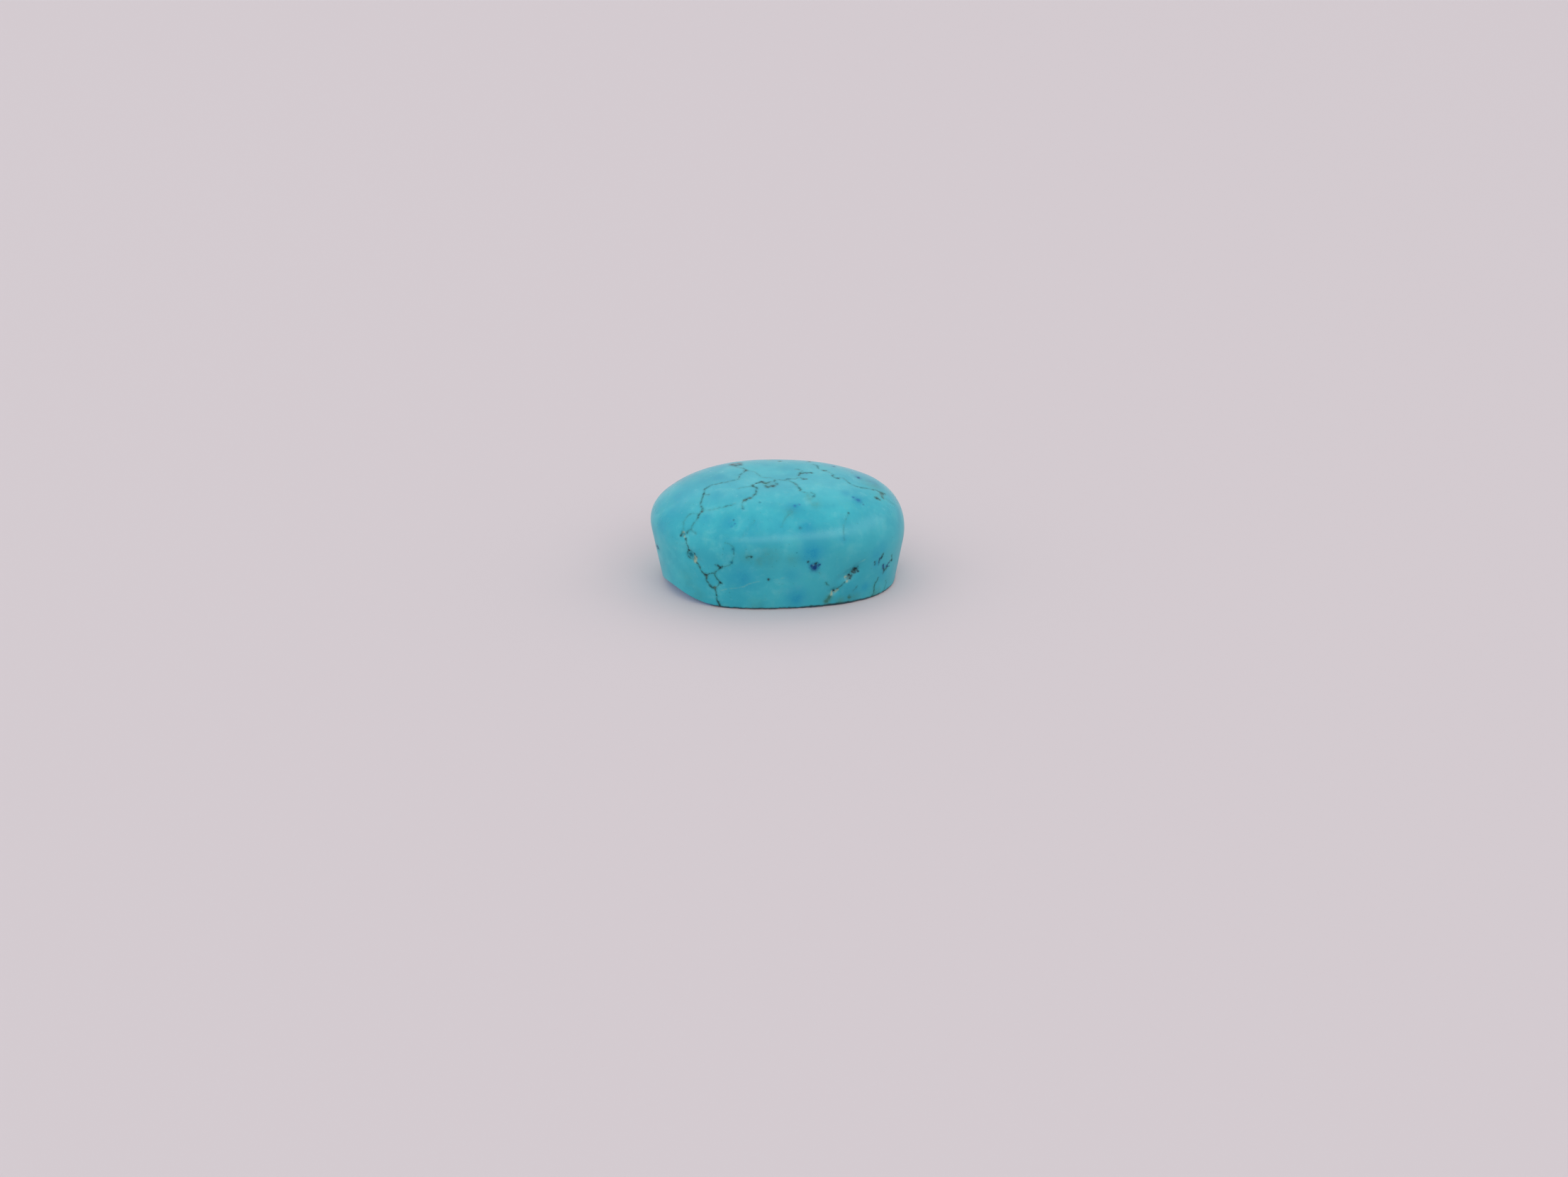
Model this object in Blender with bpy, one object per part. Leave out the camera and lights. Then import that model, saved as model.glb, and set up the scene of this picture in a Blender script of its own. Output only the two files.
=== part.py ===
# Oval turquoise stone: cut and polished, one solid piece.
#
# The stone is a loft of closed oval rings, stacked from the ground flat base to the crown:
#   base flat -> chamfer at the left front -> leaning side wall -> rounded shoulder -> domed crown.
# Frame: +X along the length, +Y to the back, +Z up, origin on the base under the middle of the box.
# Every driving dimension is a millimetre value, and MM turns it into metres.

import math

import bmesh
import bpy
import numpy as np

MM = 0.001

# Shoulder oval: the widest ring, where the side wall meets the dome.
SHOULDER_HALF_LENGTH = 9.16
SHOULDER_HALF_WIDTH = 6.42
SHOULDER_SQUARENESS = 2.15       # 2 is an ellipse, more is squarer
SHOULDER_LOBE = 0.016            # three-sided unevenness of the hand-ground oval
SHOULDER_LOBE_ANGLE = 7.0
SHOULDER_HEIGHT_RIGHT = 5.17
SHOULDER_HEIGHT_LEFT = 5.10
SHOULDER_HEIGHT_FRONT = 5.22
SHOULDER_ROUNDING_RIGHT = 2.35   # how far the rounding reaches down the wall and up the dome
SHOULDER_ROUNDING_LEFT = 1.15
SHOULDER_ROUNDING_FRONT = 1.20

# Base oval: smaller than the shoulder, so the wall leans out as it rises.
BASE_HALF_LENGTH = 8.15
BASE_HALF_WIDTH = 5.74
BASE_SQUARENESS = 2.55
BASE_LOBE = 0.010
BASE_LOBE_ANGLE = 20.0
BASE_SHIFT = (0.10, 0.03)
BASE_EDGE = 0.10                 # small worn edge between the base and the wall

# Chamfer that lifts the lower edge off the ground at the left front.
CHAMFER_LIFT = 0.82
CHAMFER_ANGLE = 198.6
CHAMFER_SPREAD = 17.7            # degrees to either side
CHAMFER_SLOPE = 32.0             # degrees from the ground

# Domed crown.
CROWN_HEIGHT = 7.72
CROWN_FULLNESS = 3.25            # 2 is a parabola, more is flatter on top
CROWN_SHIFT = (-0.40, 0.25)

# Hollows in the wall: direction seen from above, height, length, width, depth, and the lean
# of the long axis from upright.
HOLLOWS = {
    "vein_hollow": dict(angle=216.8, height=3.75, length=1.35, width=0.70, depth=0.26, lean=-47.0),
    "shoulder_hollow": dict(angle=212.4, height=5.15, length=0.85, width=0.60, depth=0.14, lean=-60.0),
    "right_hollow": dict(angle=312.7, height=2.38, length=1.70, width=0.75, depth=0.28, lean=58.0),
    "foot_hollow": dict(angle=302.5, height=1.20, length=0.70, width=0.60, depth=0.16, lean=40.0),
}

# Fineness of the faceted solid.
COLUMNS = 112
WALL_RINGS = 11
SHOULDER_RINGS = 7
CROWN_RINGS = 14

STONE_COLOUR = (0.068, 0.410, 0.470, 1.0)
STONE_ROUGHNESS = 0.38


def uneven_oval(angle, half_length, half_width, squareness, lobe, lobe_angle):
    """Radius of a superellipse with a slight three-sided unevenness."""
    along = np.abs(np.cos(angle) / half_length) ** squareness
    across = np.abs(np.sin(angle) / half_width) ** squareness
    unevenness = lobe * np.cos(3 * (angle - math.radians(lobe_angle)))
    return (along + across) ** (-1 / squareness) * (1 + unevenness)


def around_stone(angle, right, left, front):
    """A value that eases from the right end to the left end, with its own value at the front."""
    middle = (right + left) / 2
    front_share = np.where(np.sin(angle) < 0, np.sin(angle) ** 2, 0.0)
    return middle + (right - left) / 2 * np.cos(angle) + (front - middle) * front_share


def bell(angle, centre, spread):
    """1 at the centre direction, falling to nothing on both sides."""
    turn = np.angle(np.exp(1j * (angle - math.radians(centre))))
    return np.exp(-(turn / math.radians(spread)) ** 2)


def shoulder_ring(angle):
    """The sharp corner line that the shoulder rounding softens."""
    radius = uneven_oval(angle, SHOULDER_HALF_LENGTH, SHOULDER_HALF_WIDTH, SHOULDER_SQUARENESS,
                         SHOULDER_LOBE, SHOULDER_LOBE_ANGLE)
    height = around_stone(angle, SHOULDER_HEIGHT_RIGHT, SHOULDER_HEIGHT_LEFT, SHOULDER_HEIGHT_FRONT)
    return np.stack([radius * np.cos(angle), radius * np.sin(angle), height], axis=-1)


def foot_ring(angle):
    """Where the wall, carried straight down, would meet the ground."""
    radius = uneven_oval(angle, BASE_HALF_LENGTH, BASE_HALF_WIDTH, BASE_SQUARENESS,
                         BASE_LOBE, BASE_LOBE_ANGLE)
    return np.stack([radius * np.cos(angle) + BASE_SHIFT[0],
                     radius * np.sin(angle) + BASE_SHIFT[1],
                     np.zeros_like(angle)], axis=-1)


def crown_ring(shoulder, reach):
    """Dome ring at a share of the way from the crown (0) to the shoulder corner (1)."""
    reach = reach[:, None]
    plan = np.array(CROWN_SHIFT) * (1 - reach ** 2) + shoulder[:, :2] * reach
    rise = (CROWN_HEIGHT - shoulder[:, 2:]) * (1 - reach ** CROWN_FULLNESS)
    return np.hstack([plan, shoulder[:, 2:] + rise])


def stone_rings():
    """All rings from the base flat's rim to just below the crown, as one array."""
    angle = np.arange(COLUMNS) * (2 * math.pi / COLUMNS)
    shoulder = shoulder_ring(angle)
    foot = foot_ring(angle)

    # The lower edge lies on the wall, and the chamfer runs from it in to the base flat.
    edge_height = BASE_EDGE + CHAMFER_LIFT * bell(angle, CHAMFER_ANGLE, CHAMFER_SPREAD)
    lower_edge = foot + (shoulder - foot) * (edge_height / shoulder[:, 2])[:, None]
    inset = BASE_EDGE + (edge_height - BASE_EDGE) / math.tan(math.radians(CHAMFER_SLOPE))
    towards_middle = 1 - inset / np.hypot(lower_edge[:, 0], lower_edge[:, 1])
    base_rim = lower_edge * towards_middle[:, None]
    base_rim[:, 2] = 0.0

    # The rounding starts on the wall and ends on the dome, with the corner as its control point.
    rounding = around_stone(angle, SHOULDER_ROUNDING_RIGHT, SHOULDER_ROUNDING_LEFT,
                            SHOULDER_ROUNDING_FRONT)
    wall = lower_edge - shoulder
    wall_end = shoulder + wall * (rounding / np.linalg.norm(wall, axis=1))[:, None]
    corner = np.ones(COLUMNS)
    small_step = 0.001
    rim_step = crown_ring(shoulder, corner) - crown_ring(shoulder, corner - small_step)
    dome_start_reach = 1 - rounding * small_step / np.linalg.norm(rim_step, axis=1)
    dome_start = crown_ring(shoulder, dome_start_reach)

    rings = [base_rim]
    for share in np.linspace(0, 1, WALL_RINGS):
        rings.append(lower_edge + (wall_end - lower_edge) * share)
    for share in np.linspace(0, 1, SHOULDER_RINGS + 1)[1:]:
        from_wall = wall_end + (shoulder - wall_end) * share
        to_dome = shoulder + (dome_start - shoulder) * share
        rings.append(from_wall + (to_dome - from_wall) * share)
    for share in np.linspace(0, 1, CROWN_RINGS + 1)[1:-1]:
        rings.append(crown_ring(shoulder, dome_start_reach * (1 - share)))
    return np.array(rings)


def press_hollow(points, angle, height, length, width, depth, lean):
    """Push the points around one place of the wall inwards, in a smooth oval dish."""
    direction = math.radians(angle)
    outwards = np.array([math.cos(direction), math.sin(direction), 0.0])
    sideways = np.array([-math.sin(direction), math.cos(direction), 0.0])
    across = points @ sideways
    up = points[..., 2] - height
    tilt = math.radians(lean)
    along_axis = up * math.cos(tilt) + across * math.sin(tilt)
    across_axis = across * math.cos(tilt) - up * math.sin(tilt)
    spread = (along_axis / (length / 2)) ** 2 + (across_axis / (width / 2)) ** 2
    dish = np.exp(-spread) * (points @ outwards > 0)
    points -= depth * dish[..., None] * outwards


def loft(mesh, rings, crown):
    """Close the rings into one solid: a flat base, bands between the rings and a fan to the crown."""
    ring_verts = [[mesh.verts.new(point) for point in ring] for ring in rings]
    crown_vert = mesh.verts.new(crown)
    mesh.faces.new(list(reversed(ring_verts[0])))
    for lower, upper in zip(ring_verts, ring_verts[1:]):
        for i in range(COLUMNS):
            j = (i + 1) % COLUMNS
            mesh.faces.new((lower[i], lower[j], upper[j], upper[i]))
    for i in range(COLUMNS):
        mesh.faces.new((ring_verts[-1][i], ring_verts[-1][(i + 1) % COLUMNS], crown_vert))


def stone_material():
    material = bpy.data.materials.new("polished_turquoise")
    material.use_nodes = True
    shader = material.node_tree.nodes["Principled BSDF"]
    shader.inputs["Base Color"].default_value = STONE_COLOUR
    shader.inputs["Roughness"].default_value = STONE_ROUGHNESS
    shader.inputs["Metallic"].default_value = 0.0
    return material


def make_stone(collection):
    rings = stone_rings()
    for hollow in HOLLOWS.values():
        press_hollow(rings[1:], **hollow)

    # The origin goes under the middle of the stone's box.
    plan = rings[..., :2].reshape(-1, 2)
    middle = np.array([*(plan.min(axis=0) + plan.max(axis=0)) / 2, 0.0])
    crown = np.array([*CROWN_SHIFT, CROWN_HEIGHT])

    shape = bmesh.new()
    loft(shape, (rings - middle) * MM, (crown - middle) * MM)
    bmesh.ops.triangulate(shape, faces=shape.faces)

    data = bpy.data.meshes.new("turquoise_stone")
    shape.to_mesh(data)
    shape.free()
    data.shade_smooth()
    data.set_sharp_from_angle(angle=math.radians(40))
    data.materials.append(stone_material())

    stone = bpy.data.objects.new("turquoise_stone", data)
    collection.objects.link(stone)
    return stone


def main():
    for old in list(bpy.data.objects):
        bpy.data.objects.remove(old, do_unlink=True)
    collection = bpy.data.collections.new("turquoise_cabochon")
    bpy.context.scene.collection.children.link(collection)
    make_stone(collection)


main()
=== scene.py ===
# Oval turquoise stone: the looks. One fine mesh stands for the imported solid, with its veins, pits and
# spots laid on as attributes that a procedural material reads. The stone's lengths are millimetres until
# the mesh is made, and toMetres turns them into the frame's metres. The studio's are metres.
import math

import bpy
import numpy as np
from mathutils import Matrix, Vector
from mathutils.bvhtree import BVHTree


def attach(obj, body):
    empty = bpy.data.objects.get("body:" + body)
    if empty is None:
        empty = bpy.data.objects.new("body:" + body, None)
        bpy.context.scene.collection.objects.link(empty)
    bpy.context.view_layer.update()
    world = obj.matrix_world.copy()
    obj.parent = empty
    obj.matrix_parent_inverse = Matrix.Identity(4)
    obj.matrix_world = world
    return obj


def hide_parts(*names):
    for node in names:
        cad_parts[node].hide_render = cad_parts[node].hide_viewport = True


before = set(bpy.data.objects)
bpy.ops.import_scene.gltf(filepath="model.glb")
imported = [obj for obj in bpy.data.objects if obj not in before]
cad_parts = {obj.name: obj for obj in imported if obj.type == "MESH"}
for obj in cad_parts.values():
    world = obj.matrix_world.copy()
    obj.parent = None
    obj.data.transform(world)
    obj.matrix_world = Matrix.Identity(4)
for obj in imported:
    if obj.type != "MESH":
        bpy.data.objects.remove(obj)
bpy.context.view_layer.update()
toMetres = 0.001
tiny = 1e-9  # keeps a division off zero
print("frame loaded")

# Shape of the stone in millimetres and degrees, and the mesh's rows from the base's middle to the crown.

stone = {
    "shoulderOval": dict(halfLength=9.16, halfWidth=6.42, squareness=2.15, lobe=0.016, lobeAngle=7.0),
    "shoulderHeight": dict(right=5.17, left=5.10, front=5.22),
    "shoulderRounding": dict(right=2.35, left=1.15, front=1.20),
    "baseOval": dict(halfLength=8.15, halfWidth=5.74, squareness=2.55, lobe=0.010, lobeAngle=20.0),
    "baseShift": (0.10, 0.03),
    "baseEdge": 0.10,
    "chamferLift": 0.82,
    "chamferAngle": 198.6,
    "chamferSpread": 17.7,
    "chamferSlope": 32.0,
    "crownHeight": 7.72,
    "crownFullness": 3.25,
    "crownShift": (-0.40, 0.25),
    "columns": 384,
    "baseRows": 44,
    "edgeRows": 5,
    "wallRows": 56,
    "shoulderRows": 28,
    "crownRows": 84,
}

# Hollows in the wall: direction seen from above, height, length, width, depth, lean of the long axis.
hollows = {
    "veinHollow": dict(angle=216.8, height=3.75, length=1.35, width=0.70, depth=0.26, lean=-47.0),
    "shoulderHollow": dict(angle=212.4, height=5.15, length=0.85, width=0.60, depth=0.14, lean=-60.0),
    "rightHollow": dict(angle=312.7, height=2.38, length=1.70, width=0.75, depth=0.28, lean=58.0),
    "footHollow": dict(angle=302.5, height=1.20, length=0.70, width=0.60, depth=0.16, lean=40.0),
}


def latticeNoise(points, size, seed):
    # Random values from -1 to 1 on a cubic lattice of that cell size, blended smoothly between a cell's
    # eight corners. A corner's value comes from whole numbers that are multiplied and mixed bit by bit.
    cornerFactors = np.array([73856093, 19349663, 83492791])
    seedFactor = 2654435761
    mixFactor = 1274126177
    lastBits = 0xFFFFFF
    aboveZero = 500.0
    place = points / size + aboveZero
    base = np.floor(place).astype(np.int64)
    part = place - base
    part = part * part * (3 - 2 * part)
    total = np.zeros(points.shape[:-1])
    for corner in range(8):
        step = np.array([corner & 1, corner >> 1 & 1, corner >> 2 & 1])
        key = (base + step) @ cornerFactors + seed * seedFactor
        key = (key ^ (key >> 13)) * mixFactor
        value = ((key ^ (key >> 16)) & lastBits) / lastBits
        total += value * np.prod(np.where(step, part, 1 - part), axis=-1)
    return total * 2 - 1


def unevenOval(angle, halfLength, halfWidth, squareness, lobe, lobeAngle):
    # Radius of a superellipse, times one plus a slight three-sided unevenness.
    along = np.abs(np.cos(angle) / halfLength) ** squareness
    across = np.abs(np.sin(angle) / halfWidth) ** squareness
    unevenness = 1 + lobe * np.cos(3 * (angle - math.radians(lobeAngle)))
    return (along + across) ** (-1 / squareness) * unevenness


def aroundStone(angle, right, left, front):
    # Eases from the right end's value to the left end's by the cosine, and to the front's own by the
    # sine squared.
    middle = (right + left) / 2
    frontShare = np.where(np.sin(angle) < 0, np.sin(angle) ** 2, 0.0)
    return middle + (right - left) / 2 * np.cos(angle) + (front - middle) * frontShare


def bell(offset, spread):
    # One at no offset, falling as exp(-(offset / spread) squared).
    return np.exp(-(offset / spread) ** 2)


def smooth(low, high, value):
    # Smooth step from zero at low to one at high.
    share = np.clip((value - low) / (high - low), 0, 1)
    return share * share * (3 - 2 * share)


def linear(red, green, blue):
    # A display colour from 0 to 255 as scene-linear values.
    return tuple(((value / 255 + 0.055) / 1.055) ** 2.4 for value in (red, green, blue))


def stoneGrid():
    # Rows of points from the base's middle out to its rim, up the chamfer and the leaning wall, round the
    # shoulder and over the crown; each row holds one point for each direction. Wall rows blend straight
    # from the lower edge to the rounding, the shoulder is a quadratic curve with the corner as its control
    # point, and a crown ring at reach r stands at rise times (1 - r to the power of the fullness).
    angle = np.arange(stone["columns"]) * (2 * math.pi / stone["columns"])
    radius = unevenOval(angle, **stone["shoulderOval"])
    height = aroundStone(angle, **stone["shoulderHeight"])
    shoulder = np.stack([radius * np.cos(angle), radius * np.sin(angle), height], axis=-1)
    radius = unevenOval(angle, **stone["baseOval"])
    foot = np.stack([radius * np.cos(angle), radius * np.sin(angle), 0 * angle], axis=-1)
    foot[:, :2] += stone["baseShift"]

    turn = np.degrees(np.angle(np.exp(1j * (angle - math.radians(stone["chamferAngle"])))))
    lift = stone["chamferLift"] * bell(turn, stone["chamferSpread"])
    edgeHeight = stone["baseEdge"] + lift
    lowerEdge = foot + (shoulder - foot) * (edgeHeight / shoulder[:, 2])[:, None]
    inset = stone["baseEdge"] + lift / math.tan(math.radians(stone["chamferSlope"]))
    baseRim = lowerEdge * (1 - inset / np.hypot(lowerEdge[:, 0], lowerEdge[:, 1]))[:, None]
    baseRim[:, 2] = 0

    def crownRing(reach):
        plan = np.array(stone["crownShift"]) * (1 - reach ** 2) + shoulder[:, :2] * reach
        rise = (stone["crownHeight"] - shoulder[:, 2:]) * (1 - reach ** stone["crownFullness"])
        return np.hstack([plan, shoulder[:, 2:] + rise])

    rounding = aroundStone(angle, **stone["shoulderRounding"])[:, None]
    wall = lowerEdge - shoulder
    wallEnd = shoulder + wall * rounding / np.linalg.norm(wall, axis=1, keepdims=True)
    smallStep = 0.001
    rimStep = crownRing(np.ones_like(rounding)) - crownRing(np.full_like(rounding, 1 - smallStep))
    crownReach = 1 - rounding * smallStep / np.linalg.norm(rimStep, axis=1, keepdims=True)
    crownStart = crownRing(crownReach)

    def shares(rowsName):
        # Even shares of the way over that many rows, up to the whole way.
        return np.linspace(0, 1, stone[rowsName] + 1)[1:]

    rows = [baseRim * share for share in shares("baseRows")]
    rows += [baseRim + (lowerEdge - baseRim) * share for share in shares("edgeRows")]
    rows += [lowerEdge + (wallEnd - lowerEdge) * share for share in shares("wallRows")]
    for share in shares("shoulderRows"):
        corner = shoulder * 2 * share * (1 - share)
        rows.append(wallEnd * (1 - share) ** 2 + corner + crownStart * share ** 2)
    rows += [crownRing(crownReach * (1 - share)) for share in shares("crownRows")[:-1]]
    grid = np.array(rows)

    # The CAD solid's origin is under the middle of its box.
    plan = grid[..., :2].reshape(-1, 2)
    middle = np.array([*(plan.min(axis=0) + plan.max(axis=0)) / 2, 0.0])
    crownPoint = np.array([*stone["crownShift"], stone["crownHeight"]])
    return grid - middle, crownPoint - middle, middle


def gridNormals(grid):
    # Outward unit normal at each point: the step to the next column crossed with the step to the next row.
    across = np.roll(grid, -1, axis=1) - np.roll(grid, 1, axis=1)
    upwards = np.gradient(grid, axis=0)
    normal = np.cross(across, upwards)
    return normal / np.linalg.norm(normal, axis=-1, keepdims=True)


grid, crownPoint, centreShift = stoneGrid()
normals = gridNormals(grid)
rowCount = len(grid)
columnCount = stone["columns"]
print("stone grid", grid.shape, "centred by", centreShift.round(3))

# Camera.

view = {
    "elevation": 24.0,
    "azimuth": -4.0,
    "distance": 383.0,
    "aim": (0.44, 0.085, -1.0),
    "millimetresAcross": 110.6,
    "sensor": 36.0,
    "clip": (0.005, 10.0),  # metres
    "frameWidth": 2212,
    "frameHeight": 1661,
}


def cameraAxes():
    # Unit vectors to the right, up and away from the scene, for the elevation and azimuth above.
    tilt = math.radians(view["elevation"])
    turn = math.radians(view["azimuth"])
    back = np.array([math.sin(turn) * math.cos(tilt), -math.cos(turn) * math.cos(tilt), math.sin(tilt)])
    right = np.array([math.cos(turn), math.sin(turn), 0.0])
    return right, np.cross(back, right), back


def makeCamera():
    right, up, back = cameraAxes()
    data = bpy.data.cameras.new("camera")
    data.sensor_width = view["sensor"]
    data.lens = view["sensor"] * view["distance"] / view["millimetresAcross"]
    data.clip_start, data.clip_end = view["clip"]
    camera = bpy.data.objects.new("camera", data)
    place = np.eye(4)
    place[:3, 0] = right
    place[:3, 1] = up
    place[:3, 2] = back
    place[:3, 3] = (np.array(view["aim"]) + back * view["distance"]) * toMetres
    camera.matrix_world = Matrix(place.tolist())
    bpy.context.scene.collection.objects.link(camera)
    bpy.context.scene.camera = camera


makeCamera()

# Veins and marks.
# Routes and marks on the seen side are places in a frame 2212 pixels wide, cast from the camera onto the
# stone. A vein is (tone, strength, points): tone runs from 0 green through 0.5 dark brown to 1 rust, and
# strength from 0 to 1 sets its width and cover.

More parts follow.
